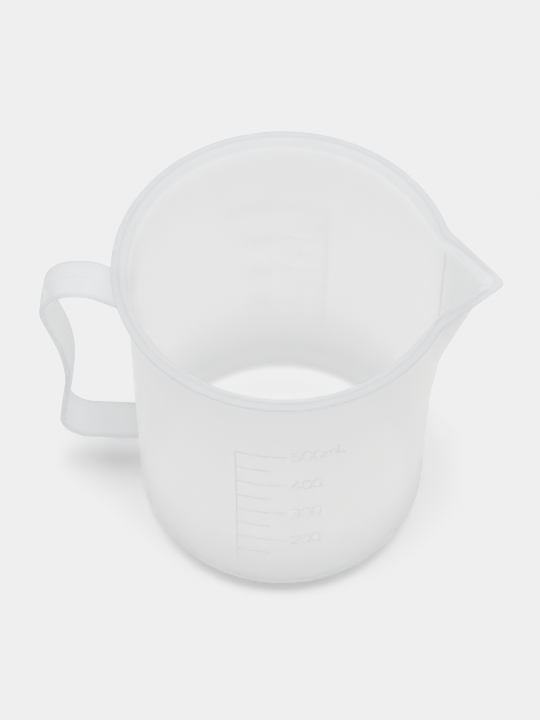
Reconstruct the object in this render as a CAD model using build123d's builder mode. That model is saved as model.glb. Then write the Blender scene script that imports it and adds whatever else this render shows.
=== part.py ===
from build123d import *
from math import atan2, cos, degrees, radians, sin, sqrt
import os

os.makedirs("parts", exist_ok=True)

# Round body
cup_height = 114.7
wall_top_radius = 46.8
wall_base_radius = 45.2
wall_thickness = 1.3
floor_thickness = 1.5
base_corner_radius = 10.5

# Rolled rim: how far it stands out from the wall and how it turns over
rim_overhang = 4.1
rim_turn_radius = 3.7
rim_edge_share = 0.46

# Pouring spout: two straight flanks leave the rim and meet in a keel over the +X axis
spout_reach = 65.7
spout_overhang = 4.3
spout_mouth_half_width = 18.14
spout_turn_radius = 3.0
spout_tip_radius = 2.7
spout_blend_radius = 9.0
spout_side_margin = 1.86
spout_foot_drop = 68.7
keel_corner_drop = 49.3
keel_blend_radius = 220.0
keel_foot_drop = 74.7
keel_foot_sink = 2.0
flank_run_in = 6.3
flank_depth = 8.0

# Strap handle on the -X side: corners of its centre line, out from the wall and down from the rim or up
handle_width = 13.0
handle_middle_thickness = 2.2
handle_side_thickness = 1.65
handle_edge_radius = 0.5
handle_root_sink = 4.0
top_root_drop = 21.8
shoulder_gap = 11.05
shoulder_drop = 14.05
shoulder_radius = 8.0
elbow_gap = 28.6
elbow_drop = 15.8
elbow_radius = 11.0
waist_gap = 18.15
waist_height = 60.8
waist_radius = 68.0
heel_gap = 23.5
heel_height = 23.7
heel_radius = 7.9
bottom_root_height = 25.4

# Raised measuring scale, one tick for each 50 millilitres
relief = 0.2
stroke_width = 0.4
pen_width = 0.28
top_mark_height = 82.8
mark_spacing = 8.05
mark_count = 8
scale_line_tail = 6.15
scale_line_angle = -102.8
long_tick_angle = 19.45
short_tick_angle = 13.1
numeral_angle = -81.8
digit_width = 2.85
digit_height = 4.7
digit_gap = 0.45
unit_letter_width = 3.7
digit_round = 1.15

# One overrun serves every cut
overrun = 3.0

rim_radius = wall_top_radius + rim_overhang
rim_edge_radius = rim_edge_share * wall_thickness
lip_underside = cup_height - wall_thickness


def wall_radius(height):
    """Outer radius of the tapered wall at a height above the table."""
    return wall_base_radius + (wall_top_radius - wall_base_radius) * height / cup_height


# Outside of the round body, solid, with its lip left too wide
with BuildPart() as outer_round:
    with BuildSketch(Plane.XZ):
        with BuildLine():
            FilletPolyline(
                (0, 0),
                (wall_base_radius, 0),
                (wall_radius(lip_underside), lip_underside),
                (rim_radius + overrun, lip_underside),
                (rim_radius + overrun, cup_height),
                (0, cup_height),
                radius=(0, base_corner_radius, rim_turn_radius - wall_thickness, 0, 0, 0),
                close=True,
            )
        make_face()
    revolve(axis=Axis.Z)

# Inside of the round body, with the flare over the rim
with BuildPart() as inner_round:
    with BuildSketch(Plane.XZ):
        with BuildLine():
            FilletPolyline(
                (0, floor_thickness),
                (wall_radius(floor_thickness) - wall_thickness, floor_thickness),
                (wall_top_radius - wall_thickness, cup_height),
                (rim_radius + 2 * overrun, cup_height),
                (rim_radius + 2 * overrun, cup_height + overrun),
                (0, cup_height + overrun),
                radius=(0, base_corner_radius - wall_thickness, rim_turn_radius, 0, 0, 0),
                close=True,
            )
        make_face()
    revolve(axis=Axis.Z)

# The spout's flanks run from the point to the rim, at an angle to the +X axis
flank_run = spout_reach - sqrt(rim_radius**2 - spout_mouth_half_width**2)
flank_angle = atan2(spout_mouth_half_width, flank_run)
flank_sine = sin(flank_angle)
flank_cosine = cos(flank_angle)
flank_length = spout_mouth_half_width / flank_sine + flank_run_in

# A flank is drawn square to its run: distance from the axis across, height up
keel_corner_height = cup_height - keel_corner_drop
keel_foot_height = cup_height - keel_foot_drop
flank_edge = spout_reach * flank_sine
flank_neck = (spout_reach - spout_overhang) * flank_sine
flank_corner = wall_radius(keel_corner_height) * flank_sine
flank_foot = (wall_radius(keel_foot_height) - keel_foot_sink) * flank_sine
flank_lean = (flank_neck - flank_corner) / (cup_height - keel_corner_height)
flank_back = flank_foot - flank_depth
flank_plane = Plane(
    origin=(0, 0, 0),
    x_dir=(flank_sine, flank_cosine, 0),
    z_dir=(flank_cosine, -flank_sine, 0),
).offset(spout_reach * flank_cosine - flank_length)

# Outside of one flank, cut off at the mirror plane and mirrored
with BuildPart() as outer_flanks:
    with BuildSketch(flank_plane):
        with BuildLine():
            FilletPolyline(
                (flank_back, keel_foot_height),
                (flank_foot, keel_foot_height),
                (flank_corner, keel_corner_height),
                (flank_neck - flank_lean * wall_thickness, lip_underside),
                (flank_edge + overrun, lip_underside),
                (flank_edge + overrun, cup_height),
                (flank_back, cup_height),
                radius=(0, 0, keel_blend_radius, spout_turn_radius - wall_thickness, 0, 0, 0),
                close=True,
            )
        make_face()
    extrude(amount=flank_length + 2 * overrun)
    split(bisect_by=Plane.XZ, keep=Keep.BOTTOM)
    mirror(about=Plane.XZ)

# Inside of the flanks, one wall thickness in
with BuildPart() as inner_flanks:
    with BuildSketch(flank_plane):
        with BuildLine():
            FilletPolyline(
                (flank_back - overrun, keel_foot_height),
                (flank_foot - wall_thickness, keel_foot_height),
                (flank_corner - wall_thickness, keel_corner_height),
                (flank_neck - wall_thickness, cup_height),
                (flank_edge + 2 * overrun, cup_height),
                (flank_edge + 2 * overrun, cup_height + overrun),
                (flank_back - overrun, cup_height + overrun),
                radius=(0, 0, keel_blend_radius, spout_turn_radius, 0, 0, 0),
                close=True,
            )
        make_face()
    extrude(amount=flank_length + 3 * overrun)
    split(bisect_by=Plane.XZ, keep=Keep.BOTTOM)
    mirror(about=Plane.XZ)

# Plan of the mouth: the round rim and the spout's point, blended where they meet
with BuildSketch() as mouth_plan:
    Circle(rim_radius)
    with BuildLine():
        Polyline(
            (spout_reach, 0),
            (spout_reach - flank_length * flank_cosine, flank_length * flank_sine),
            (spout_reach - flank_length * flank_cosine, -flank_length * flank_sine),
            close=True,
        )
    make_face()
    fillet(mouth_plan.vertices().sort_by(Axis.X)[-1], spout_tip_radius)
    kinks = mouth_plan.vertices().group_by(Axis.X)[-2]
    fillet(kinks, spout_blend_radius)

# The whole moulded shell, later divided into its named regions
with BuildPart() as shell:
    add(outer_round.part)
    add(outer_flanks.part)
    add(inner_round.part, mode=Mode.SUBTRACT)
    add(inner_flanks.part, mode=Mode.SUBTRACT)
    extrude(mouth_plan.sketch, amount=cup_height + overrun, mode=Mode.INTERSECT)
    flat_faces = shell.faces().filter_by(Axis.Z)
    fillet(flat_faces.sort_by(Axis.Z)[-1].outer_wire().edges(), rim_edge_radius)

# Region of the spout: a block over +X, from the keel's foot past the rim
with BuildPart() as spout_region:
    with BuildSketch(Plane.XY.offset(cup_height - spout_foot_drop)):
        with Locations((spout_reach / 2, 0)):
            Rectangle(spout_reach, 2 * (spout_mouth_half_width + spout_side_margin))
    extrude(amount=cup_height)

# Floor with its rounded corner
with BuildPart() as cup_base:
    add(shell.part)
    split(bisect_by=Plane.XY.offset(base_corner_radius), keep=Keep.BOTTOM)

# Tapered wall between the base and the rim's turn
with BuildPart() as cup_wall:
    add(shell.part)
    split(bisect_by=Plane.XY.offset(base_corner_radius), keep=Keep.TOP)
    split(bisect_by=Plane.XY.offset(cup_height - rim_turn_radius), keep=Keep.BOTTOM)
    add(spout_region.part, mode=Mode.SUBTRACT)

# Rim that turns outwards round the mouth
with BuildPart() as rolled_rim:
    add(shell.part)
    split(bisect_by=Plane.XY.offset(cup_height - rim_turn_radius), keep=Keep.TOP)
    add(spout_region.part, mode=Mode.SUBTRACT)

# Spout with its keel and its stretch of lip
with BuildPart() as pour_spout:
    add(shell.part)
    add(spout_region.part, mode=Mode.INTERSECT)

# Strap handle: a section thicker along its middle, swept down the centre line and cut by the wall
handle_root_reach = wall_top_radius - handle_root_sink
with BuildPart() as handle_strap:
    with BuildLine():
        centre_line = FilletPolyline(
            (-handle_root_reach, 0, cup_height - top_root_drop),
            (-wall_top_radius - shoulder_gap, 0, cup_height - shoulder_drop),
            (-wall_top_radius - elbow_gap, 0, cup_height - elbow_drop),
            (-wall_top_radius - waist_gap, 0, waist_height),
            (-wall_top_radius - heel_gap, 0, heel_height),
            (-handle_root_reach, 0, bottom_root_height),
            radius=(shoulder_radius, elbow_radius, waist_radius, heel_radius),
        )
    with BuildSketch(Plane(origin=centre_line @ 0, x_dir=(0, 1, 0), z_dir=centre_line % 0)):
        with BuildLine():
            FilletPolyline(
                (-handle_width / 2, -handle_side_thickness / 2),
                (0, -handle_middle_thickness / 2),
                (handle_width / 2, -handle_side_thickness / 2),
                (handle_width / 2, handle_side_thickness / 2),
                (0, handle_middle_thickness / 2),
                (-handle_width / 2, handle_side_thickness / 2),
                radius=(handle_edge_radius, 0, handle_edge_radius, handle_edge_radius, 0, handle_edge_radius),
                close=True,
            )
        make_face()
    sweep(path=centre_line)
    add(outer_round.part, mode=Mode.SUBTRACT)

# Thin layer over the wall that the scale and the numbers are cut from
with BuildPart() as relief_layer:
    with BuildSketch(Plane.XZ):
        with BuildLine():
            Polyline(
                (wall_radius(base_corner_radius), base_corner_radius),
                (wall_radius(base_corner_radius) + relief, base_corner_radius),
                (wall_radius(lip_underside) + relief, lip_underside),
                (wall_radius(lip_underside), lip_underside),
                close=True,
            )
        make_face()
    revolve(axis=Axis.Z)


def radial_plane(angle):
    """Upright plane through the axis: its x runs outwards at the angle, its y runs up."""
    across = cos(radians(angle))
    along = sin(radians(angle))
    return Plane(origin=(0, 0, 0), x_dir=(across, along, 0), z_dir=(along, -across, 0))


def facing_plane(angle):
    """Upright plane that faces outwards at the angle, a little inside the wall."""
    across = cos(radians(angle))
    along = sin(radians(angle))
    inside = wall_base_radius - overrun
    return Plane(
        origin=(inside * across, inside * along, 0),
        x_dir=(-along, across, 0),
        z_dir=(across, along, 0),
    )


def arc_angle(length):
    """Angle in degrees that a length takes up round the wall."""
    return degrees(length / wall_radius(top_mark_height))


mark_heights = [top_mark_height - index * mark_spacing for index in range(mark_count)]

# Scale: one upright line, with a long tick at each hundred and a short one between
with BuildPart() as front_scale:
    lowest = mark_heights[-1] - scale_line_tail
    highest = mark_heights[0] + stroke_width / 2
    with BuildSketch(radial_plane(scale_line_angle)):
        with BuildLine():
            Polyline(
                (wall_radius(lowest), lowest),
                (wall_radius(lowest) + relief, lowest),
                (wall_radius(highest) + relief, highest),
                (wall_radius(highest), highest),
                close=True,
            )
        make_face()
    revolve(axis=Axis.Z, revolution_arc=arc_angle(stroke_width))
    for index, height in enumerate(mark_heights):
        below = height - stroke_width / 2
        above = height + stroke_width / 2
        with BuildSketch(radial_plane(scale_line_angle)):
            with BuildLine():
                Polyline(
                    (wall_radius(below), below),
                    (wall_radius(below) + relief, below),
                    (wall_radius(above) + relief, above),
                    (wall_radius(above), above),
                    close=True,
                )
            make_face()
        revolve(axis=Axis.Z, revolution_arc=short_tick_angle if index % 2 else long_tick_angle)

# Strokes of each character in shares of its width and height, with the rounding of each inner corner
character_share = {
    "5": [([(1, 1), (0, 1), (0, 0.58), (1, 0.58), (1, 0), (0, 0)], (0, 0, 1, 1))],
    "0": [
        ([(0.5, 1), (0, 1), (0, 0), (0.5, 0)], (1, 1)),
        ([(0.5, 0), (1, 0), (1, 1), (0.5, 1)], (1, 1)),
    ],
    "4": [([(1, 0.3), (0, 0.3), (0.72, 1), (0.72, 0)], (0, 0))],
    "3": [
        ([(0, 1), (1, 1), (1, 0.52), (0.3, 0.52)], (0.9, 0.9)),
        ([(0.3, 0.52), (1, 0.52), (1, 0), (0, 0)], (0.9, 0.9)),
    ],
    "2": [([(0, 0.78), (0, 1), (1, 1), (1, 0.5), (0, 0), (1, 0)], (0.7, 1, 0.6, 0))],
    "m": [
        ([(0, 0), (0, 0.68), (0.5, 0.68), (0.5, 0)], (0.5, 0.7)),
        ([(0.5, 0.4), (0.5, 0.68), (1, 0.68), (1, 0)], (0.5, 0.7)),
    ],
    "L": [([(0, 1), (0, 0), (0.8, 0)], (0,))],
}
labels = ("500mL", "400", "300", "200")

# Numbers beside the long ticks, one character after another round the wall
with BuildPart() as front_numerals:
    for label, height in zip(labels, mark_heights[::2]):
        start = 0
        for character in label:
            width = unit_letter_width if character == "m" else digit_width
            plane = facing_plane(numeral_angle + arc_angle(start + width / 2))
            for corners, rounding in character_share[character]:
                stroke = [
                    ((x - 0.5) * (width - pen_width), height + (y - 0.5) * (digit_height - pen_width))
                    for x, y in corners
                ]
                with BuildSketch(plane):
                    with BuildLine() as pen_path:
                        FilletPolyline(*stroke, radius=[digit_round * share for share in rounding])
                    for edge in pen_path.edges():
                        trace(edge, line_width=pen_width)
                    with Locations(*pen_path.vertices()):
                        Circle(pen_width / 2)
                extrude(amount=2 * overrun)
            start += width + digit_gap
    add(relief_layer.part, mode=Mode.INTERSECT)

# The same scale and numbers on the far side
with BuildPart() as back_scale:
    add(front_scale.part, rotation=(0, 0, 180))

with BuildPart() as back_numerals:
    add(front_numerals.part, rotation=(0, 0, 180))

pieces = {
    "cup_base": cup_base,
    "cup_wall": cup_wall,
    "rolled_rim": rolled_rim,
    "pour_spout": pour_spout,
    "handle_strap": handle_strap,
    "front_scale": front_scale,
    "front_numerals": front_numerals,
    "back_scale": back_scale,
    "back_numerals": back_numerals,
}
for name, piece in pieces.items():
    piece.part.label = name
    export_step(piece.part, f"parts/{name}.step")
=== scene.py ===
"""Resin mixing cup in milky polypropylene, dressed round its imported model.

The moulded shell is worked out in millimetres. Every finished piece, the studio and the finishes are in
metres.
"""
import logging
import math
from collections.abc import Callable
from dataclasses import dataclass, field
from enum import Enum
from functools import cached_property, partial
from operator import attrgetter
from typing import NamedTuple

import bmesh
import bpy
from mathutils import Matrix, Vector

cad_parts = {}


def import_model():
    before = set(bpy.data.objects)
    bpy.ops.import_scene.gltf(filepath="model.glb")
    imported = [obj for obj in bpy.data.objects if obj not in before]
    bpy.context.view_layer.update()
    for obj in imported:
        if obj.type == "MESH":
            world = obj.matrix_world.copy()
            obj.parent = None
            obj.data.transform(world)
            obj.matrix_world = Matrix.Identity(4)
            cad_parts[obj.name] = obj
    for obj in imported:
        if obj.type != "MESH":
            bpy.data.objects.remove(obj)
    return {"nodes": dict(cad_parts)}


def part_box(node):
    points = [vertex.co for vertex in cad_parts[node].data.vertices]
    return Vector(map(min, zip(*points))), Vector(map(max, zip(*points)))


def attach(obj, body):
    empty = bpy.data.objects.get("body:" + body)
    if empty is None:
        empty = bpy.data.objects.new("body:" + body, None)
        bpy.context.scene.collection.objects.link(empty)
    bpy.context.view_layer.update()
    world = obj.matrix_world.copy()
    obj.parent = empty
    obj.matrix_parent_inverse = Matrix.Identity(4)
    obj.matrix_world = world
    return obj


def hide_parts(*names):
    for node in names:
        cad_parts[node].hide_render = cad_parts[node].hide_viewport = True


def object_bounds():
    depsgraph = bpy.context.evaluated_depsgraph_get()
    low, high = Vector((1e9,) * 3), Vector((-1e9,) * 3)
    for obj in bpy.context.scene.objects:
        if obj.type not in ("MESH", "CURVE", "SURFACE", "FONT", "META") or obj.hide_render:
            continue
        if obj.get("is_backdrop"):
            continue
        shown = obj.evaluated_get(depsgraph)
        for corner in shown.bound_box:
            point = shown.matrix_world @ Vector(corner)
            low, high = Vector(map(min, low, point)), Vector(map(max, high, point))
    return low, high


LOG = logging.getLogger("resin_mixing_cup")

Colour = tuple[float, float, float]
Point = tuple[float, float]
Shares = tuple[float, ...]
Rings = tuple[int, int]
Pieces = dict[str, bpy.types.Object]
Socket = bpy.types.NodeSocket
Paint = Colour | Socket
Share = float | Socket
Mesh = bmesh.types.BMesh

MM = 0.001

# Places of the shell that are nearer to each other than this are one place, in millimetres
CLOSE = 1e-4

# How often an interval is halved to find an angle
HALVINGS = 40

# Layers of the shell's mesh while it is being made
RING = "ring"
COLUMN = "column"
NORMAL = "whole_normal"


class Skin(Enum):
    """Side of the moulding that a ring lies on."""

    OUTER = "outer"
    LIP = "lip"
    INNER = "inner"


class Region(Enum):
    """Piece of the moulded shell, by its node's name."""

    BASE = "cup_base"
    WALL = "cup_wall"
    RIM = "rolled_rim"
    SPOUT = "pour_spout"

    @property
    def piece_name(self) -> str:
        """Name of the region's finished piece."""
        return self.value.split("_")[-1] + "_shell"


class Side(Enum):
    """Side of the cup that a measuring scale stands on."""

    FRONT = "front"
    BACK = "back"


class Slot(Enum):
    """Material slot of the record, by its name."""

    PLASTIC = "milky_plastic"
    MARKS = "raised_marks"


class Look(Enum):
    """Attribute of the shell that its finish reads, a share from 0 to 1 at each vertex."""

    # Painted shade on the lip, spout and foot, painted shade lines on the lip and fold, and painted light
    # that whitens the floor inside
    THICK = "thick_share"
    LINE = "line_share"
    FLOOR = "floor_share"


class Course(Enum):
    """How a value goes from one end of a range to the other."""

    STRAIGHT = "LINEAR"
    EASED = "SMOOTHSTEP"


class Nodes:
    """Short forms for building one material's node tree."""

    def __init__(self, name: str) -> None:
        """Start an empty material.

        Args:
            name: The material's name.
        """
        self.material = bpy.data.materials.new(name)
        self.material.use_nodes = True
        self.tree = self.material.node_tree
        self.tree.nodes.clear()

    def add(self, kind: str, **settings: object) -> bpy.types.Node:
        """Add a node.

        Args:
            kind: The node's type, without the leading "ShaderNode".
            settings: Properties of the node to set.

        Returns:
            The new node.
        """
        node = self.tree.nodes.new("ShaderNode" + kind)
        for key, value in settings.items():
            setattr(node, key, value)
        return node

    def give(self, value: Paint | Share, target: Socket) -> None:
        """Set an input to a constant, or join it to the output that gives its value.

        Args:
            value: A colour, a number or an output.
            target: The input.
        """
        if isinstance(value, Socket):
            self.tree.links.new(value, target)
        else:
            target.default_value = (*value, 1) if isinstance(value, tuple) else value

    def attribute(self, look: Look) -> Socket:
        """Value of one of the shell's attributes."""
        return self.add("Attribute", attribute_name=look.value).outputs["Fac"]

    def carried(
        self, value: Socket, source: Point, target: Point, course: Course = Course.STRAIGHT
    ) -> Socket:
        """Carry a value from one range over to another.

        Args:
            value: The value. Outside its range it counts as the nearer end.
            source: The range's two ends.
            target: What the two ends become.
            course: How the new value goes from end to end.

        Returns:
            The new value.
        """
        node = self.add("MapRange", interpolation_type=course.value)
        for name, number in zip(("From Min", "From Max", "To Min", "To Max"), (*source, *target)):
            node.inputs[name].default_value = number
        self.give(value, node.inputs["Value"])
        return node.outputs["Result"]

    def off_middle(self, source: Point, target: Point) -> Socket:
        """Go from one value to another with the distance from the cup's upright middle plane.

        Args:
            source: Where the change starts and ends, as distances from the plane.
            target: The values there.

        Returns:
            The value.
        """
        place = self.add("TexCoord")
        parts = self.add("SeparateXYZ")
        distance = self.add("Math", operation="ABSOLUTE")
        self.give(place.outputs["Object"], parts.inputs["Vector"])
        self.give(parts.outputs["Y"], distance.inputs[0])
        return self.carried(distance.outputs["Value"], source, target, Course.EASED)

    def noise(self, scale: float, detail: float) -> Socket:
        """Noise that lies still on the object.

        Args:
            scale: Cells for each metre.
            detail: How many finer layers are added.

        Returns:
            The noise, about 0.5 on average.
        """
        place = self.add("TexCoord")
        texture = self.add("TexNoise")
        texture.inputs["Scale"].default_value = scale
        texture.inputs["Detail"].default_value = detail
        self.give(place.outputs["Object"], texture.inputs["Vector"])
        return texture.outputs["Fac"]

    def blended(self, share: Socket, first: Paint, second: Colour) -> Socket:
        """Mix two colours.

        Args:
            share: Share of the second colour.
            first: One colour, or an output that gives it.
            second: The other colour.

        Returns:
            The mixed colour.
        """
        node = self.add("Mix", data_type="RGBA")
        start, end = (socket for socket in node.inputs if socket.type == "RGBA")
        self.give(first, start)
        self.give(second, end)
        self.give(share, node.inputs["Factor"])
        return next(socket for socket in node.outputs if socket.type == "RGBA")

    def either(self, share: Share, first: Socket, second: Socket) -> Socket:
        """Mix two shaders.

        Args:
            share: Share of the second shader, or an output that gives it.
            first: The one shader's output.
            second: The other shader's output.

        Returns:
            The mixed shader's output.
        """
        node = self.add("MixShader")
        for value, target in zip((share, first, second), node.inputs):
            self.give(value, target)
        return node.outputs["Shader"]

    def finished(self, surface: Socket) -> bpy.types.Material:
        """The material, once the surface's shader is joined to its output."""
        self.give(surface, self.add("OutputMaterial").inputs["Surface"])
        return self.material


@dataclass(frozen=True)
class MilkyPlastic:
    """Translucent polypropylene that scatters part of the light back and lets part of it through."""

    name: str
    reflected: Colour = (0.915, 0.922, 0.935)
    cloud: Colour = (0.885, 0.895, 0.91)
    passed: Colour = (0.97, 0.967, 0.962)
    # Colour of the painted shade lines and the strap's painted edge shade, also of the strap's parting line
    line: Colour = (0.68, 0.695, 0.72)
    passed_share: float = 0.8
    clear_share: float = 0.3
    refraction: float = 1.49
    roughness: Point = (0.36, 0.46)
    cloud_share: float = 0.3
    cloud_scale: float = 38
    cloud_detail: float = 3
    cloud_range: Point = (0.3, 0.7)
    grain_strength: float = 0.1
    grain_height: float = 0.05 * MM
    grain_scale: float = 900
    grain_detail: float = 2

    def paint(self, nodes: Nodes, clouded: Socket) -> tuple[Paint, Paint]:
        """Colour of the light that is scattered back and of the light that is let through."""
        return clouded, self.passed

    def shares(self, nodes: Nodes) -> tuple[Share, Share]:
        """Share of the scattered light that goes through, and share of all light that passes straight."""
        return self.passed_share, self.clear_share

    def build(self) -> bpy.types.Material:
        """Make the material.

        Returns:
            The finished material.
        """
        nodes = Nodes(self.name)
        clouds = nodes.noise(self.cloud_scale, self.cloud_detail)
        cloud_share = nodes.carried(clouds, self.cloud_range, (0, self.cloud_share))
        clouded = nodes.blended(cloud_share, self.reflected, self.cloud)
        reflected, passed = self.paint(nodes, clouded)
        passed_share, clear_share = self.shares(nodes)
        grain = nodes.add("Bump")
        grain.inputs["Strength"].default_value = self.grain_strength
        grain.inputs["Distance"].default_value = self.grain_height
        nodes.give(nodes.noise(self.grain_scale, self.grain_detail), grain.inputs["Height"])
        body = nodes.add("BsdfPrincipled")
        body.inputs["IOR"].default_value = self.refraction
        nodes.give(reflected, body.inputs["Base Color"])
        nodes.give(nodes.carried(clouds, self.cloud_range, self.roughness), body.inputs["Roughness"])
        nodes.give(grain.outputs["Normal"], body.inputs["Normal"])
        through = nodes.add("BsdfTranslucent")
        nodes.give(passed, through.inputs["Color"])
        clear = nodes.add("BsdfTransparent")
        scattered = nodes.either(passed_share, body.outputs["BSDF"], through.outputs["BSDF"])
        return nodes.finished(nodes.either(clear_share, scattered, clear.outputs["BSDF"]))


@dataclass(frozen=True)
class ShellPlastic(MilkyPlastic):
    """The plastic of the shell, with painted shade on its lip, spout and foot and painted light that whitens
    its floor.

    The shell's attributes say where painted shade falls, where its lip or fold shows a painted shade line
    and where it is floor that is painted light.
    """

    name: str = "milky_plastic"
    # Painted shade colours, for the lip, spout and foot
    painted_shade_reflected: Colour = (0.79, 0.80, 0.812)
    painted_shade_passed: Colour = (0.84, 0.845, 0.853)
    # Painted light: whiter colours for the floor inside
    floor_light_reflected: Colour = (0.985, 0.985, 0.985)
    floor_light_passed: Colour = (0.99, 0.99, 0.985)
    floor_passed_share: float = 0.2
    floor_clear_share: float = 0.1

    def paint(self, nodes: Nodes, clouded: Socket) -> tuple[Paint, Paint]:
        """Mix the plain colours with painted shade, painted shade lines and the floor's painted light by the
        shell's attributes.

        Args:
            nodes: The material's nodes.
            clouded: The scattered colour with its clouds.

        Returns:
            The outputs of the scattered colour and of the colour that is let through.
        """
        thick, line, floor = (nodes.attribute(look) for look in Look)
        # Painted shade, then painted shade lines, then the floor's painted light
        reflected = nodes.blended(line, nodes.blended(thick, clouded, self.painted_shade_reflected), self.line)
        reflected = nodes.blended(floor, reflected, self.floor_light_reflected)
        passed = nodes.blended(line, nodes.blended(thick, self.passed, self.painted_shade_passed), self.line)
        return reflected, nodes.blended(floor, passed, self.floor_light_passed)

    def shares(self, nodes: Nodes) -> tuple[Share, Share]:
        """Let less light through on the floor.

        Args:
            nodes: The material's nodes.

        Returns:
            The outputs of both shares.
        """
        floor = nodes.attribute(Look.FLOOR)
        passed_share = nodes.carried(floor, (0, 1), (self.passed_share, self.floor_passed_share))
        return passed_share, nodes.carried(floor, (0, 1), (self.clear_share, self.floor_clear_share))


@dataclass(frozen=True)
class HandlePlastic(MilkyPlastic):
    """The denser plastic of the strap, with the mould's parting line down its middle and painted shade along
    both its edges.
    """

    name: str = "handle_plastic"
    reflected: Colour = (0.834, 0.843, 0.855)
    cloud: Colour = (0.823, 0.833, 0.846)
    passed: Colour = (0.885, 0.888, 0.891)
    parting_width: float = 0.45 * MM
    parting_share: float = 0.12
    # Painted shade along both edges of the strap
    edge_shade_places: Point = (5.2 * MM, 6.5 * MM)
    edge_shade_share: float = 0.35

    def paint(self, nodes: Nodes, clouded: Socket) -> tuple[Paint, Paint]:
        """Darken the strap's parting line, and paint shade along both its edges.

        Args:
            nodes: The material's nodes.
            clouded: The scattered colour with its clouds.

        Returns:
            The outputs of the scattered colour and of the colour that is let through.
        """
        both = nodes.add("Math", operation="ADD")
        nodes.give(nodes.off_middle((0, self.parting_width), (self.parting_share, 0)), both.inputs[0])
        nodes.give(nodes.off_middle(self.edge_shade_places, (0, self.edge_shade_share)), both.inputs[1])
        share = both.outputs["Value"]
        return nodes.blended(share, clouded, self.line), nodes.blended(share, self.passed, self.line)


@dataclass(frozen=True)
class ClearSeam:
    """Clear finish for the faces inside the moulding, where two pieces meet."""

    name: str = "clear_seam"

    def build(self) -> bpy.types.Material:
        """Make the material."""
        nodes = Nodes(self.name)
        return nodes.finished(nodes.add("BsdfTransparent").outputs["BSDF"])


@dataclass(frozen=True)
class PaleFloor:
    """Even matt finish of the studio's floor."""

    name: str = "pale_floor"
    colour: Colour = (0.863, 0.863, 0.863)

    def build(self) -> bpy.types.Material:
        """Make the material.

        Returns:
            The finished material.
        """
        nodes = Nodes(self.name)
        shader = nodes.add("BsdfDiffuse")
        nodes.give(self.colour, shader.inputs["Color"])
        return nodes.finished(shader.outputs["BSDF"])


@dataclass(frozen=True)
class Station:
    """One ring of the moulded shell, in millimetres.

    radius and height place it on the round body, flank and flank_height on the spout's flank, where
    flank is the distance from the cup's axis, square to the flank. lip goes from 0 on the wall to 1 at
    the lip's edge.
    """

    radius: float
    height: float
    flank: float
    flank_height: float
    skin: Skin
    lip: float = 0.0


class Place(NamedTuple):
    """One vertex of the shell on the side of positive Y, in millimetres.

    column counts from the keel, angle runs from the +X axis, and mouth is the radius of the lip's edge at
    the same column.
    """

    station: Station
    column: int
    angle: float
    radius: float
    height: float
    mouth: float


def clamped(value: float) -> float:
    """The value, or the nearer of 0 and 1 where it lies outside them."""
    return min(max(value, 0), 1)


def smooth_step(value: float, start: float, end: float) -> float:
    """0 before the start, 1 past the end and an even curve between, whichever of them is larger."""
    share = clamped((value - start) / (end - start))
    return share * share * (3 - 2 * share)


def smooth_max(first: float, second: float, blend: float) -> float:
    """The larger of two values, rounded where they are nearer to each other than the blend."""
    near = max(blend - abs(first - second), 0) / blend
    return max(first, second) + near * near * blend / 4


def last_angle(holds: Callable[[float], bool], low: float, high: float) -> float:
    """Find how far round a condition holds.

    Args:
        holds: The condition, which holds at the low angle and no longer at the high one.
        low: Where the search starts.
        high: Where it ends.

    Returns:
        The last angle at which the condition holds.
    """
    for _ in range(HALVINGS):
        middle = (low + high) / 2
        if holds(middle):
            low = middle
        else:
            high = middle
    return low


def turn_points(line: float, slope: float, top: float, radius: float, steps: int) -> list[Point]:
    """Points round the fillet between a leaning wall and the flat lip above it.

    Args:
        line: The wall's distance from the axis at the height of top.
        slope: How far the wall leans outwards for each millimetre of height.
        top: Height of the flat.
        radius: Radius of the fillet.
        steps: Number of segments.

    Returns:
        Points from the wall up to the flat, as distance and height.
    """
    lean = math.atan(slope)
    centre_height = top - radius
    touch = centre_height + radius * math.sin(lean)
    centre = line + slope * (touch - top) + radius * math.cos(lean)
    start = math.pi - lean
    angles = [start + (math.pi / 2 - start) * index / steps for index in range(steps + 1)]
    return [(centre + radius * math.cos(a), centre_height + radius * math.sin(a)) for a in angles]


def corner_points(line: float, slope: float, floor: float, radius: float, steps: int) -> list[Point]:
    """Points round the corner between a flat floor and the leaning wall.

    Args:
        line: The wall's distance from the axis at height zero.
        slope: How far the wall leans outwards for each millimetre of height.
        floor: Height of the floor.
        radius: Radius of the corner.
        steps: Number of segments.

    Returns:
        Points from the floor up to the wall, as distance and height.
    """
    lean = math.atan(slope)
    centre_height = floor + radius
    centre = line + slope * centre_height - radius / math.cos(lean)
    angles = [-math.pi / 2 + (math.pi / 2 - lean) * index / steps for index in range(steps + 1)]
    return [(centre + radius * math.cos(a), centre_height + radius * math.sin(a)) for a in angles]


def with_level(points: list[Point], height: float) -> list[Point]:
    """Add a point where a rising outline passes a height, if it has none there.

    Args:
        points: The outline, as distance and height.
        height: The height.

    Returns:
        The outline with its new point.
    """
    for index, (low, high) in enumerate(zip(points, points[1:])):
        if low[1] < height - CLOSE and high[1] > height + CLOSE:
            share = (height - low[1]) / (high[1] - low[1])
            point = (low[0] + (high[0] - low[0]) * share, height)
            return points[: index + 1] + [point] + points[index + 1 :]
    return points


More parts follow.
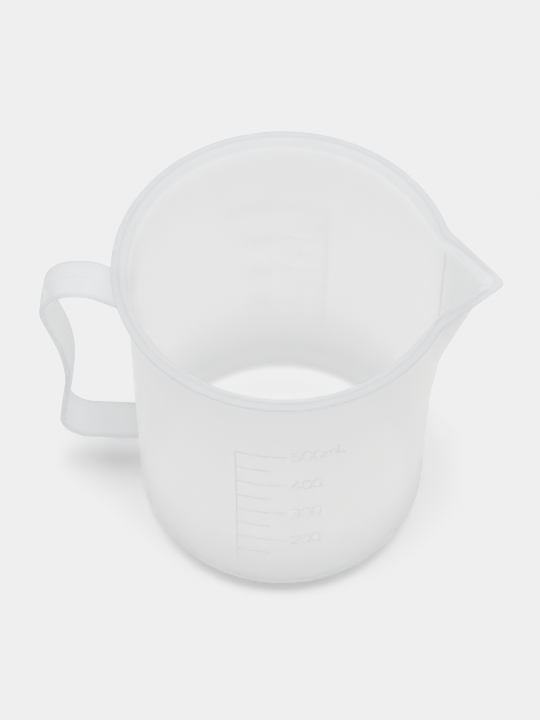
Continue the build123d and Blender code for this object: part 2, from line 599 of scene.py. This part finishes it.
@dataclass(frozen=True)
class ShellForm:
    """Shape of the moulded shell, as rings from under the floor over the lip to the floor inside.

    Each ring is round, and is drawn out over +X, so that it follows the spout's flanks, the shoulders beside
    them and the keel. Sizes are in millimetres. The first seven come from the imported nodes.
    """

    height: float
    rim_radius: float
    base_seam: float
    rim_seam: float
    spout_foot: float
    spout_half_width: float
    spout_tip: float

    # Round body and its lip
    wall_top_radius: float = 46.8
    wall_base_radius: float = 45.2
    wall: float = 1.3
    floor: float = 1.5
    corner_radius: float = 10.5
    rim_turn: float = 3.7
    edge_radius: float = 0.6

    # Spout: its neck under the lip, its keel, and how far its edges are rounded
    flank_angle: float = math.pi / 4
    spout_turn: float = 3.0
    spout_neck: float = 61.4
    keel_slope: float = 0.3124
    keel_foot_blend: float = 5.1
    keel_blend: float = 2.6
    inner_blend: float = 0.9
    tip_blend: float = 4.47

    # Fold where a flank meets the shoulder beside it: how far it stands from the axis, and its rounding
    fold_foot: float = 68.0
    fold_reach: float = 47.2
    fold_reach_low: float = 46.4
    fold_blend: float = 0.22
    lip_kink_blend: float = 0.83
    least_fold: float = math.radians(1.3)

    # How the rings are divided: to the fold, to the spout's side, to far_side and to the handle
    far_side: float = math.radians(50)
    flank_shares: Shares = (0, 0.03, 0.06, 0.1, 0.15, 0.22, 0.32, 0.45, 0.6, 0.74, 0.86, 0.93, 0.97, 1)
    shoulder_shares: Shares = (0.04, 0.1, 0.2, 0.34, 0.5, 0.67, 0.84, 1)
    near_columns: int = 14
    round_columns: int = 80

    # How the section is divided: the floor, its corner, the wall under the spout and beside it, and the lip
    floor_shares: Shares = (0, 0.3, 0.65, 0.9)
    corner_steps: int = 14
    low_wall_shares: Shares = (0.35, 0.7)
    spout_steps: int = 24
    turn_steps: int = 12
    edge_steps: int = 8

    @classmethod
    def from_frame(cls) -> "ShellForm":
        """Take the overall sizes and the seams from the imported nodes.

        Returns:
            The form.
        """
        base, rim, spout = (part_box(region.value) for region in (Region.BASE, Region.RIM, Region.SPOUT))
        return cls(
            height=rim[1].z / MM,
            rim_radius=rim[1].y / MM,
            base_seam=base[1].z / MM,
            rim_seam=rim[0].z / MM,
            spout_foot=spout[0].z / MM,
            spout_half_width=spout[1].y / MM,
            spout_tip=spout[1].x / MM,
        )

    @property
    def slope(self) -> float:
        """How far the wall leans outwards for each millimetre of height."""
        return (self.wall_top_radius - self.wall_base_radius) / self.height

    @property
    def fold_column(self) -> int:
        """Number of the column that lies on the fold."""
        return len(self.flank_shares) - 1

    @property
    def side_column(self) -> int:
        """Number of the column that lies on the side of the spout's own piece."""
        return self.fold_column + len(self.shoulder_shares)

    @property
    def whole_turn(self) -> int:
        """Number of columns all the way round."""
        return 2 * (self.side_column + self.near_columns + self.round_columns)

    def wall_radius(self, height: float, skin: Skin) -> float:
        """Radius of one skin of the round wall at a height."""
        inset = self.wall if skin is Skin.INNER else 0
        return self.wall_base_radius + self.slope * height - inset

    def keel_reach(self, height: float, skin: Skin) -> float:
        """Distance from the axis to the spout's keel, before its edge is rounded.

        Args:
            height: Height above the table.
            skin: The skin of the moulding.

        Returns:
            The distance in millimetres.
        """
        body = self.wall_radius(height, Skin.OUTER)
        keel = self.spout_neck + self.keel_slope * (height - self.height)
        outer = smooth_max(body, keel, self.keel_foot_blend)
        if skin is not Skin.INNER:
            return outer
        stands_out = min((outer - body) / self.keel_foot_blend, 1)
        wall_at_keel = self.wall / math.sin(self.flank_angle)
        return outer - self.wall - (wall_at_keel - self.wall) * stands_out

    def wall_stations(self, skin: Skin) -> list[Station]:
        """Rings of one skin, from the centre of the floor to the foot of the lip's turn.

        Args:
            skin: The outer or the inner skin.

        Returns:
            The rings, from the floor up.
        """
        inset = self.wall if skin is Skin.INNER else 0
        floor = self.floor if skin is Skin.INNER else 0
        line = self.wall_base_radius - inset
        corner = corner_points(line, self.slope, floor, self.corner_radius - inset, self.corner_steps)
        points = [(corner[0][0] * share, floor) for share in self.floor_shares] + corner
        top = (self.wall_radius(self.height, skin), self.height)
        points = with_level(points + [top], self.base_seam)[:-1]
        low_wall = self.spout_foot - self.base_seam
        levels = [self.base_seam + low_wall * share for share in self.low_wall_shares]
        rise = (self.rim_seam - self.spout_foot) / self.spout_steps
        levels += [self.spout_foot + rise * index for index in range(self.spout_steps + 1)]
        points += [(self.wall_radius(level, skin), level) for level in levels]
        sine = math.sin(self.flank_angle)
        return [Station(r, z, self.keel_reach(z, skin) * sine, z, skin) for r, z in points]

    def lip_points(
        self, outside: float, inside: float, slope: float, turn: float, edge: float
    ) -> list[Point]:
        """Section of the lip, from its underside over its edge to the turn on the inside.

        Args:
            outside: The wall's outer distance from the axis at the lip's underside.
            inside: The wall's inner distance at the lip's top.
            slope: How far the wall leans outwards for each millimetre of height.
            turn: Radius of the turn on the inside.
            edge: Distance from the axis to the lip's edge.

        Returns:
            Points as distance and height.
        """
        half = self.wall / 2
        middle = self.height - half
        centre = edge - self.edge_radius
        angles = [-math.pi / 2 + math.pi * index / self.edge_steps for index in range(self.edge_steps + 1)]
        rounded = [(centre + self.edge_radius * math.cos(a), middle + half * math.sin(a)) for a in angles]
        under = turn_points(outside, slope, self.height - self.wall, turn - self.wall, self.turn_steps)
        over = turn_points(inside, slope, self.height, turn, self.turn_steps)
        return under + rounded + over[::-1]

    def lip_stations(self) -> list[Station]:
        """Rings of the lip, from its underside over its edge to the turn on the inside.

        Returns:
            The rings in order.
        """
        sine = math.sin(self.flank_angle)
        lean = self.keel_slope * sine
        neck = self.spout_neck * sine
        tip = (self.spout_tip + self.tip_blend / 4) * sine
        outside = self.wall_radius(self.height - self.wall, Skin.OUTER)
        inside = self.wall_radius(self.height, Skin.INNER)
        body = self.lip_points(outside, inside, self.slope, self.rim_turn, self.rim_radius)
        flank = self.lip_points(neck - lean * self.wall, neck - self.wall, lean, self.spout_turn, tip)
        stations = []
        for index, (on_body, on_flank) in enumerate(zip(body, flank)):
            skin = Skin.LIP
            if index <= self.turn_steps:
                skin = Skin.OUTER
            elif index > self.turn_steps + self.edge_steps + 1:
                skin = Skin.INNER
            wall = self.wall_radius(self.height, skin)
            lip = clamped((on_body[0] - wall) / (self.rim_radius - self.edge_radius - wall))
            stations.append(Station(*on_body, *on_flank, skin, lip))
        return stations

    @cached_property
    def stations(self) -> list[Station]:
        """Rings of the whole shell, from under the floor over the lip to the floor inside."""
        return self.wall_stations(Skin.OUTER) + self.lip_stations() + self.wall_stations(Skin.INNER)[::-1]

    def rings_at(self, height: float) -> Rings:
        """Find the rings at a seam's height.

        Args:
            height: The seam's height.

        Returns:
            The numbers of the outer and of the inner ring.
        """
        found = [
            index
            for index, station in enumerate(self.stations)
            if abs(station.height - height) < CLOSE and station.lip == 0
        ]
        return found[0], found[-1]

    def shoulder(self, station: Station, angle: float) -> float:
        """How far the shoulder beside the spout stands out from the round wall.

        Args:
            station: The ring.
            angle: Angle from the +X axis, at least zero.

        Returns:
            The extra radius in millimetres.
        """
        level = min(station.height, self.rim_seam)
        wall = self.wall_radius(level, station.skin)
        reach = self.keel_reach(level, station.skin)
        rise = (level - self.fold_foot) / (self.height - self.fold_foot)
        fold = self.fold_reach_low + (self.fold_reach - self.fold_reach_low) * rise
        if station.skin is not Skin.INNER:
            fold += self.wall * math.cos(self.flank_angle)
        along, across = min(reach, fold), max(reach - fold, 0)
        distance = math.hypot(along, across)
        if distance <= wall + CLOSE:
            return 0.0
        touch = math.atan2(across, along) + math.acos(wall / distance)
        if angle >= touch:
            return 0.0
        return wall / math.cos(angle - touch) - wall

    def sides(self, station: Station, angle: float) -> Point:
        """Radius of the round side and of the flank at an angle.

        Args:
            station: The ring.
            angle: Angle from the +X axis, at least zero.

        Returns:
            The round body's radius with its shoulder, and the flank's radius.
        """
        body = station.radius + (1 - station.lip) * self.shoulder(station, angle)
        if angle > self.far_side or station.height < self.spout_foot:
            return body, 0.0
        near = station.flank / math.cos(angle - self.flank_angle)
        far = station.flank / math.cos(angle + self.flank_angle)
        blend = self.inner_blend if station.skin is Skin.INNER else self.keel_blend
        blend += (self.tip_blend - blend) * station.lip
        return body, -smooth_max(-near, -far, blend)

    def drawn(self, station: Station, angle: float) -> Point:
        """Where a ring lies once it is drawn out over the spout.

        Args:
            station: The ring.
            angle: Angle from the +X axis, at least zero.

        Returns:
            The radius and the height.
        """
        body, flank = self.sides(station, angle)
        if flank <= 0:
            return body, station.height
        blend = self.fold_blend + (self.lip_kink_blend - self.fold_blend) * station.lip
        rise = station.flank_height - station.height
        rise *= smooth_step(flank - body, -self.edge_radius, self.edge_radius)
        return smooth_max(body, flank, blend), station.height + rise

    def on_flank(self, station: Station, angle: float) -> bool:
        """Whether the flank stands out past the round side at an angle."""
        body, flank = self.sides(station, angle)
        return flank > body

    def in_spout(self, station: Station, angle: float) -> bool:
        """Whether a ring is still within the sides of the spout's own piece at an angle."""
        radius, _height = self.drawn(station, angle)
        return radius * math.sin(angle) < self.spout_half_width

    def fold_angle(self, station: Station) -> float:
        """Angle at which the flank meets the shoulder or the lip, or a small one where there is no flank."""
        end = self.far_side if self.on_flank(station, self.least_fold) else self.least_fold
        return last_angle(partial(self.on_flank, station), self.least_fold, end)

    def side_angle(self, station: Station) -> float:
        """Angle at which a ring passes the side of the spout's own piece.

        Args:
            station: The ring.

        Returns:
            The angle, under the spout's foot the one that the round wall has there.
        """
        if station.height < self.spout_foot:
            return math.asin(self.spout_half_width / self.wall_radius(self.spout_foot, Skin.OUTER))
        return last_angle(partial(self.in_spout, station), self.least_fold, self.far_side)

    def column_angles(self, station: Station) -> list[float]:
        """Divide a ring from the keel round to the handle side.

        Args:
            station: The ring.

        Returns:
            The angle of each column.
        """
        fold = self.fold_angle(station)
        side = self.side_angle(station)
        angles = [fold * share for share in self.flank_shares]
        angles += [fold + (side - fold) * share for share in self.shoulder_shares]
        near = (self.far_side - side) / self.near_columns
        angles += [side + near * (index + 1) for index in range(self.near_columns)]
        step = (math.pi - self.far_side) / self.round_columns
        return angles + [self.far_side + step * (index + 1) for index in range(self.round_columns)]

    def places(self) -> list[list[Place]]:
        """Draw every ring out over the spout.

        Returns:
            The places of each ring's vertices, from the keel round to the handle side.
        """
        widest = max(self.stations, key=attrgetter("radius"))
        mouth = [self.drawn(widest, angle)[0] for angle in self.column_angles(widest)]
        rings = []
        for station in self.stations:
            ring = []
            for column, angle in enumerate(self.column_angles(station)):
                ring.append(Place(station, column, angle, *self.drawn(station, angle), mouth[column]))
            rings.append(ring)
        return rings


@dataclass(frozen=True)
class ShellLook:
    """Where the shell gets painted shade, where it shows a painted shade line and where it is floor that is
    painted light.

    Shades and lines are shares from 0 to 1, and all other sizes are in millimetres.
    """

    form: ShellForm

    # Painted shade band along the lip's inside, narrower on the spout, with a painted shade line along it
    # and along the lip's edge
    lip_band: float = 2.35
    spout_lip_band: float = 1.6
    band_fade: float = 0.8
    line_width: float = 0.4
    turn_shade_line: float = 0.45
    edge_shade_line: float = 0.3

    # Painted shade of the lip's turn, which is full from this share of the way to the lip's edge
    turn_shade: float = 0.8
    turn_share: float = 0.15

    # Painted shade line down the fold, which shows where the spout stands out, and is paler a column away
    fold_shade_line: float = 0.65
    fold_stand_out: float = 0.8
    fold_pale_share: float = 0.6

    # Painted shade of the spout, inside and outside, which is full where it stands out this far
    spout_shade: float = 0.7
    spout_shade_outside: float = 0.35
    spout_shade_reach: float = 5.0

    # Painted shade of the foot, which starts at a height and is full from a share of the corner's radius
    # down
    foot_shade: float = 0.58
    foot_inside_share: float = 0.7
    foot_shade_height: float = 38.0
    foot_full_share: float = 0.7

    # Radii between which the floor's painted light inside fades out
    floor_edge: Point = (41.6, 39.2)

    def on_spout(self, place: Place) -> float:
        """How far a place is drawn out from the round body, from 0 to 1."""
        return smooth_step(place.radius - place.station.radius, 0, self.spout_shade_reach)

    def band_width(self, place: Place) -> float:
        """Width of the lip's painted shade band beside a place."""
        return self.lip_band + (self.spout_lip_band - self.lip_band) * self.on_spout(place)

    def from_edge(self, place: Place) -> float:
        """Distance of a place from the lip's edge, square to that edge."""
        square = math.cos(self.form.flank_angle - place.angle)
        return (place.mouth - place.radius) * (1 + (square - 1) * self.on_spout(place))

    def thick(self, place: Place) -> float:
        """How much painted shade a place gets.

        Args:
            place: The place.

        Returns:
            A share from 0 to 1, the largest of what the lip, the spout and the foot give.
        """
        outside = place.station.skin is Skin.OUTER
        spout = self.on_spout(place) * (self.spout_shade_outside if outside else self.spout_shade)
        full = self.form.corner_radius * self.foot_full_share
        foot = self.foot_shade * smooth_step(place.station.height, self.foot_shade_height, full)
        foot *= 1 if outside else self.foot_inside_share
        foot *= smooth_step(place.radius, self.floor_edge[1], self.floor_edge[0] + 2 * self.form.wall)
        lip = smooth_step(place.station.lip, 0, self.turn_share)
        if not outside:
            width = self.band_width(place)
            band = smooth_step(self.from_edge(place), width + self.band_fade, width)
            lip = max(self.turn_shade * lip, band)
        return max(lip, spout, foot)

    def lip_shade_line(self, place: Place) -> float:
        """How much of the lip's two painted shade lines shows at a place on the lip.

        Args:
            place: The place.

        Returns:
            A share from 0 to 1.
        """
        from_edge = self.from_edge(place)
        from_line = (from_edge - self.band_width(place)) / self.line_width
        turn = self.turn_shade_line * math.exp(-(from_line**2))
        return max(turn, self.edge_shade_line * smooth_step(from_edge, self.line_width, 0))

    def line(self, place: Place) -> float:
        """How much of a painted shade line shows at a place.

        Args:
            place: The place.

        Returns:
            A share from 0 to 1, on the outside always 0.
        """
        station = place.station
        if station.skin is Skin.OUTER:
            return 0.0
        if station.lip > 0:
            return self.lip_shade_line(place)
        from_fold = abs(place.column - self.form.fold_column)
        if from_fold > 1 or station.skin is Skin.LIP or station.height >= self.form.rim_seam + CLOSE:
            return 0.0
        stand_out = place.radius - self.form.wall_radius(place.height, Skin.INNER)
        pale = 1 - self.fold_pale_share * from_fold
        return self.fold_shade_line * smooth_step(stand_out, 0, self.fold_stand_out) * pale

    def floor(self, place: Place) -> float:
        """How much of the floor's painted light a place inside gets, from 0 to 1."""
        return 0.0 if place.station.skin is Skin.OUTER else smooth_step(place.radius, *self.floor_edge)

    def shares(self, place: Place) -> dict[Look, float]:
        """What the finish has to know of a place: its painted shade, painted shade line and the floor's
        painted light.
        """
        return {Look.THICK: self.thick(place), Look.LINE: self.line(place), Look.FLOOR: self.floor(place)}


def wrapped(column: int, whole_turn: int) -> int:
    """A column's number as the shell keeps it, from just past minus half a turn to half a turn."""
    half = whole_turn // 2
    return (column + half - 1) % whole_turn - half + 1


class CutPiece:
    """One piece of the moulded shell, cut from the whole and closed where it meets its neighbours."""

    seam_slot = 1

    def __init__(self, form: ShellForm, whole: Mesh, region: Region) -> None:
        """Copy the whole shell and cut away all but one piece.

        Args:
            form: The shell's form.
            whole: The whole shell, which is left as it is.
            region: The piece.
        """
        self.form = form
        self.region = region
        self.shell = whole.copy()
        self.ring = self.shell.verts.layers.int[RING]
        self.column = self.shell.verts.layers.int[COLUMN]
        self.base, self.foot, self.rim = map(form.rings_at, (form.base_seam, form.spout_foot, form.rim_seam))
        others = [face for face in self.shell.faces if self.owner(face) is not region]
        bmesh.ops.delete(self.shell, geom=others, context="FACES")
        self.corners = {(vertex[self.ring], vertex[self.column]): vertex for vertex in self.shell.verts}

    def owner(self, face: bmesh.types.BMFace) -> Region:
        """Tell which piece a face of the shell belongs to.

        Args:
            face: The face.

        Returns:
            The piece.
        """
        rings = [vertex[self.ring] for vertex in face.verts]
        low, high = min(rings), max(rings)
        if low < self.base[0] or high > self.base[1]:
            return Region.BASE
        farthest = max(abs(vertex[self.column]) for vertex in face.verts)
        over_spout = face.calc_center_median().x > 0 and farthest <= self.form.side_column
        if over_spout and low >= self.foot[0] and high <= self.foot[1]:
            return Region.SPOUT
        return Region.RIM if low >= self.rim[0] and high <= self.rim[1] else Region.WALL

    def add_seam(self, corners: list[Rings]) -> None:
        """Add a face where the piece meets its neighbour, its corners given as ring and column."""
        face = self.shell.faces.new([self.corners[corner] for corner in corners])
        face.material_index = self.seam_slot

    def close_level(self, rings: Rings, columns: range) -> None:
        """Close the piece at one height, between the outer and the inner skin.

        Args:
            rings: The outer and the inner ring at that height.
            columns: The columns after which a face is added.
        """
        outer, inner = rings
        for column in columns:
            first, second = (wrapped(column + step, self.form.whole_turn) for step in (0, 1))
            self.add_seam([(outer, first), (outer, second), (inner, second), (inner, first)])

    def close_side(self, column: int) -> None:
        """Close the piece along one side of the spout, from the spout's foot up to the rim's seam.

        Args:
            column: The column on that side.
        """
        outer, inner = self.foot
        for step in range(self.rim[0] - outer):
            rings = (outer + step, outer + step + 1, inner - step - 1, inner - step)
            self.add_seam([(ring, column) for ring in rings])

    def close(self) -> None:
        """Close the piece along all its seams."""
        side = self.form.side_column
        if self.region in (Region.BASE, Region.WALL):
            self.close_level(self.base, range(self.form.whole_turn))
        if self.region in (Region.RIM, Region.WALL):
            self.close_level(self.rim, range(side, self.form.whole_turn - side))
        if self.region in (Region.SPOUT, Region.WALL):
            self.close_level(self.foot, range(-side, side))
        for column in (-side, side):
            if self.region in (Region.SPOUT, Region.WALL):
                self.close_side(column)
            if self.region in (Region.SPOUT, Region.RIM):
                self.add_seam([(ring, column) for ring in range(self.rim[0], self.rim[1] + 1)])

    def finished(self) -> bpy.types.Object:
        """Turn the piece into an object in metres that is shaded as part of the whole shell.

        Returns:
            The object.
        """
        bmesh.ops.recalc_face_normals(self.shell, faces=self.shell.faces)
        bmesh.ops.scale(self.shell, vec=(MM, MM, MM), verts=self.shell.verts)
        for face in self.shell.faces:
            face.smooth = True
        self.shell.normal_update()
        self.shell.verts.index_update()
        normal = self.shell.verts.layers.float_vector[NORMAL]
        whole_normals = [tuple(vertex[normal]) for vertex in self.shell.verts]
        mesh = bpy.data.meshes.new(self.region.piece_name)
        self.shell.to_mesh(mesh)
        self.shell.free()
        normals = []
        for polygon in mesh.polygons:
            flat = tuple(polygon.normal)
            on_seam = polygon.material_index == self.seam_slot
            normals += [flat if on_seam else whole_normals[vertex] for vertex in polygon.vertices]
        mesh.normals_split_custom_set(normals)
        for layer in (RING, COLUMN, NORMAL):
            mesh.attributes.remove(mesh.attributes[layer])
        return placed(mesh)


def placed(mesh: bpy.types.Mesh) -> bpy.types.Object:
    """Put a mesh in the scene as an object of the same name.

    Args:
        mesh: The mesh.

    Returns:
        The object.
    """
    piece = bpy.data.objects.new(mesh.name, mesh)
    bpy.context.scene.collection.objects.link(piece)
    return piece


def finish(pieces: Pieces, slot: Slot, *materials: bpy.types.Material) -> None:
    """Dress pieces and put each in its node's place.

    Args:
        pieces: The pieces, by the names of their nodes.
        slot: Not used.
        materials: The materials that each of them gets.
    """
    for node, piece in pieces.items():
        for material in materials:
            piece.data.materials.append(material)
        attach(piece, "root")
        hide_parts(node)


@dataclass(frozen=True)
class MouldedShell:
    """The cup's one moulded shell: base, wall, rolled rim and spout, each a piece of its own."""

    form: ShellForm = field(default_factory=ShellForm.from_frame)
    plastic: ShellPlastic = ShellPlastic()
    seam: ClearSeam = ClearSeam()

    def spun(self) -> Mesh:
        """Spin the section of the round body about the axis.

        Returns:
            The round shell, with empty layers and the number of each vertex's ring.
        """
        shell = bmesh.new()
        layers = shell.verts.layers
        layers.int.new(RING)
        layers.int.new(COLUMN)
        layers.float_vector.new(NORMAL)
        for look in Look:
            layers.float.new(look.value)
        section = [shell.verts.new((station.radius, 0, station.height)) for station in self.form.stations]
        for index, vertex in enumerate(section):
            vertex[layers.int[RING]] = index
        lines = [shell.edges.new(pair) for pair in zip(section, section[1:])]
        bmesh.ops.spin(
            shell,
            geom=section + lines,
            cent=(0, 0, 0),
            axis=(0, 0, 1),
            angle=2 * math.pi,
            steps=self.form.whole_turn,
            use_merge=True,
        )
        bmesh.ops.remove_doubles(shell, verts=shell.verts, dist=CLOSE)
        return shell

    def whole(self) -> Mesh:
        """Draw the round shell's rings out over the spout.

        Returns:
            The closed shell, with the ring, the column, the normal and the look of each vertex in layers.
        """
        shell = self.spun()
        layers = shell.verts.layers
        ring, column_layer, normal = layers.int[RING], layers.int[COLUMN], layers.float_vector[NORMAL]
        looks = {look: layers.float[look.value] for look in Look}
        places = self.form.places()
        shell_look = ShellLook(self.form)
        step = 2 * math.pi / self.form.whole_turn
        for vertex in shell.verts:
            if math.hypot(vertex.co.x, vertex.co.y) < CLOSE:
                vertex[looks[Look.FLOOR]] = 1 if vertex.co.z > 0 else 0
                continue
            column = wrapped(round(math.atan2(vertex.co.y, vertex.co.x) / step), self.form.whole_turn)
            place = places[vertex[ring]][abs(column)]
            angle = math.copysign(place.angle, column)
            vertex.co = (place.radius * math.cos(angle), place.radius * math.sin(angle), place.height)
            vertex[column_layer] = column
            for look, share in shell_look.shares(place).items():
                vertex[looks[look]] = share
        bmesh.ops.recalc_face_normals(shell, faces=shell.faces)
        shell.normal_update()
        for vertex in shell.verts:
            vertex[normal] = vertex.normal
        return shell

    def build(self, nodes: Pieces) -> Pieces:
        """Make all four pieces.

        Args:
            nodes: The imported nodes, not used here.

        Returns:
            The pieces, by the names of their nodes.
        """
        whole = self.whole()
        pieces = {}
        for region in Region:
            piece = CutPiece(self.form, whole, region)
            piece.close()
            pieces[region.value] = piece.finished()
        whole.free()
        return pieces

    def dress(self, pieces: Pieces) -> None:
        """Finish the pieces in the shell's plastic, with clear faces where they meet."""
        finish(pieces, Slot.PLASTIC, self.plastic.build(), self.seam.build())


@dataclass(frozen=True)
class PackedShape:
    """Sub-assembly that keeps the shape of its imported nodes, their faces joined along their edges.

    names gives the finished piece's name for each node, and lift is how far the pieces stand out from where
    the nodes are.
    """

    names: dict[str, str]
    plastic: MilkyPlastic
    slot: Slot
    lift: float = 0.0
    smooth_angle: float = math.radians(28)
    merge_distance: float = 0.001 * MM

    def copied(self, node: bpy.types.Object, name: str) -> bpy.types.Object:
        """Copy a node as a finished piece.

        Args:
            node: The node's object, which is left as it is.
            name: The piece's name.

        Returns:
            The piece.
        """
        copy = bmesh.new()
        copy.from_mesh(node.data)
        bmesh.ops.remove_doubles(copy, verts=copy.verts, dist=self.merge_distance)
        bmesh.ops.recalc_face_normals(copy, faces=copy.faces)
        for vertex in copy.verts:
            away = Vector((vertex.co.x, vertex.co.y, 0))
            vertex.co += away.normalized() * self.lift
        for face in copy.faces:
            face.smooth = True
        for edge in copy.edges:
            edge.smooth = len(edge.link_faces) == 2 and edge.calc_face_angle() < self.smooth_angle
        mesh = bpy.data.meshes.new(name)
        copy.to_mesh(mesh)
        copy.free()
        return placed(mesh)

    def build(self, nodes: Pieces) -> Pieces:
        """Make the pieces, by the names of the nodes that they are copied from."""
        return {node: self.copied(nodes[node], name) for node, name in self.names.items()}

    def dress(self, pieces: Pieces) -> None:
        """Finish the pieces in the sub-assembly's plastic."""
        finish(pieces, self.slot, self.plastic.build())


@dataclass(frozen=True)
class StrapHandle(PackedShape):
    """The open strap handle."""

    names: dict[str, str] = field(default_factory=lambda: {"handle_strap": "handle_piece"})
    plastic: MilkyPlastic = HandlePlastic()
    slot: Slot = Slot.PLASTIC


@dataclass(frozen=True)
class MeasuringScale(PackedShape):
    """The raised line with its ticks and the numbers beside it, on one side of the cup.

    The pieces stand out a little from the wall that they are moulded on, so that no two faces coincide.
    """

    slot: Slot = Slot.MARKS
    lift: float = 0.02 * MM

    @classmethod
    def on(cls, side: Side) -> "MeasuringScale":
        """Choose one of the two scales.

        Args:
            side: The side that it stands on.

        Returns:
            The scale, whose plastic lets more light straight through on the far side.
        """
        front = MilkyPlastic(
            "front_mark_plastic",
            reflected=(0.865, 0.873, 0.886),
            cloud=(0.847, 0.857, 0.87),
            passed=(0.918, 0.918, 0.918),
        )
        back = MilkyPlastic(
            "back_mark_plastic",
            reflected=(0.871, 0.879, 0.892),
            cloud=(0.852, 0.862, 0.876),
            passed=(0.924, 0.924, 0.924),
            clear_share=0.45,
        )
        names = {
            f"{side.value}_scale": f"{side.value}_scale_marks",
            f"{side.value}_numerals": f"{side.value}_numeral_marks",
        }
        return cls(names, front if side is Side.FRONT else back)


@dataclass(frozen=True)
class Studio:
    """Pale floor, soft overhead light and the camera at the photograph's angle.

    Angles are in degrees. The camera is given as it was solved from the photograph.
    """

    # Ground, and the light's strength and direction
    floor_size: float = 6.0
    floor_drop: float = 0.2 * MM
    floor_finish: PaleFloor = PaleFloor()
    sky_colour: Colour = (1, 1, 1)
    sky_light: float = 0.6
    top_light: float = 1.81
    top_light_angle: float = 34.0
    top_light_tilt: float = 2.0
    top_light_spread: float = 11.0

    # Brightest tone of the picture, and the place of the curve for all three colours among the curves
    paper_white: float = 0.863
    combined_curve: int = 3

    # Camera: its lens, where it stands and where it looks
    focal_pixels: float = 3007.0
    image_height: float = 720.0
    sensor_height: float = 36.0
    aim_offset: float = 1.44
    elevation: float = 55.68
    turn: float = 5.0
    roll: float = 0.21
    distance: float = 933.6 * MM
    target: Point = (-4.33 * MM, 5.65 * MM)

    def turned(self, angle: float, axis: str) -> Matrix:
        """Turn by an angle in degrees about an axis through the origin."""
        return Matrix.Rotation(math.radians(angle), 4, axis)

    def build_floor(self) -> None:
        """Lay the floor just under the cup."""
        plane = bmesh.new()
        bmesh.ops.create_grid(plane, x_segments=1, y_segments=1, size=self.floor_size / 2)
        bmesh.ops.translate(plane, vec=(0, 0, -self.floor_drop), verts=plane.verts)
        mesh = bpy.data.meshes.new("studio_floor")
        plane.to_mesh(mesh)
        plane.free()
        mesh.materials.append(self.floor_finish.build())
        placed(mesh)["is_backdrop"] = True

    def build_light(self) -> None:
        """Light the scene with an even sky and two broad lights overhead, one to each side."""
        world = bpy.data.worlds.new("studio_sky")
        world.use_nodes = True
        background = world.node_tree.nodes["Background"]
        background.inputs["Color"].default_value = (*self.sky_colour, 1)
        background.inputs["Strength"].default_value = self.sky_light
        bpy.context.scene.world = world
        for name, spread in (("left_light", -self.top_light_spread), ("right_light", self.top_light_spread)):
            lamp = bpy.data.lights.new(name, "SUN")
            lamp.energy = self.top_light / 2
            lamp.angle = math.radians(self.top_light_angle)
            holder = bpy.data.objects.new(name, lamp)
            bpy.context.scene.collection.objects.link(holder)
            lean = self.turned(spread, "Y") @ self.turned(self.top_light_tilt, "X")
            holder.matrix_world = self.turned(self.turn, "Z") @ lean

    def build_camera(self, height: float) -> None:
        """Place the camera.

        Args:
            height: Height of the cup, whose middle the camera is aimed from.
        """
        elevation = math.radians(self.elevation)
        roll = math.radians(self.roll)
        back = Vector((0, -math.cos(elevation), math.sin(elevation)))
        right = Vector((1, 0, 0))
        up = back.cross(right)
        rolled_right = right * math.cos(roll) + up * math.sin(roll)
        rolled_up = up * math.cos(roll) - right * math.sin(roll)
        aimed_back = (back - rolled_right * (self.aim_offset / self.focal_pixels)).normalized()
        aimed_right = rolled_up.cross(aimed_back)
        aimed = Matrix((aimed_right, rolled_up, aimed_back)).transposed().to_4x4()
        aimed.translation = Vector((*self.target, height / 2)) + back * self.distance
        lens = bpy.data.cameras.new("camera")
        lens.sensor_width = self.sensor_height
        lens.lens = self.focal_pixels / self.image_height * self.sensor_height
        camera = bpy.data.objects.new("camera", lens)
        bpy.context.scene.collection.objects.link(camera)
        camera.matrix_world = self.turned(self.turn, "Z") @ aimed
        bpy.context.scene.camera = camera

    def build_exposure(self) -> None:
        """Let the ground run out into one even white, as in the photograph."""
        view = bpy.context.scene.view_settings
        view.view_transform = "Standard"
        view.use_curve_mapping = True
        curve = view.curve_mapping.curves[self.combined_curve]
        curve.points[-1].location = (1, self.paper_white)
        curve.points.new(self.paper_white, self.paper_white)
        for point in curve.points:
            point.handle_type = "VECTOR"
        view.curve_mapping.extend = "HORIZONTAL"
        view.curve_mapping.update()

    def build(self, height: float) -> None:
        """Make the whole studio.

        Args:
            height: Height of the cup.
        """
        self.build_floor()
        self.build_light()
        self.build_camera(height)
        self.build_exposure()


def main() -> None:
    """Build the studio and every sub-assembly."""
    logging.basicConfig(level=logging.INFO)
    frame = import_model()
    cad_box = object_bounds()
    Studio().build(cad_box[1].z)
    for part in (MouldedShell(), StrapHandle(), *map(MeasuringScale.on, Side)):
        pieces = part.build(frame["nodes"])
        part.dress(pieces)
        for node, piece in pieces.items():
            LOG.info("built %s for %s: %d faces", piece.name, node, len(piece.data.polygons))


if __name__ == "__main__":
    main()
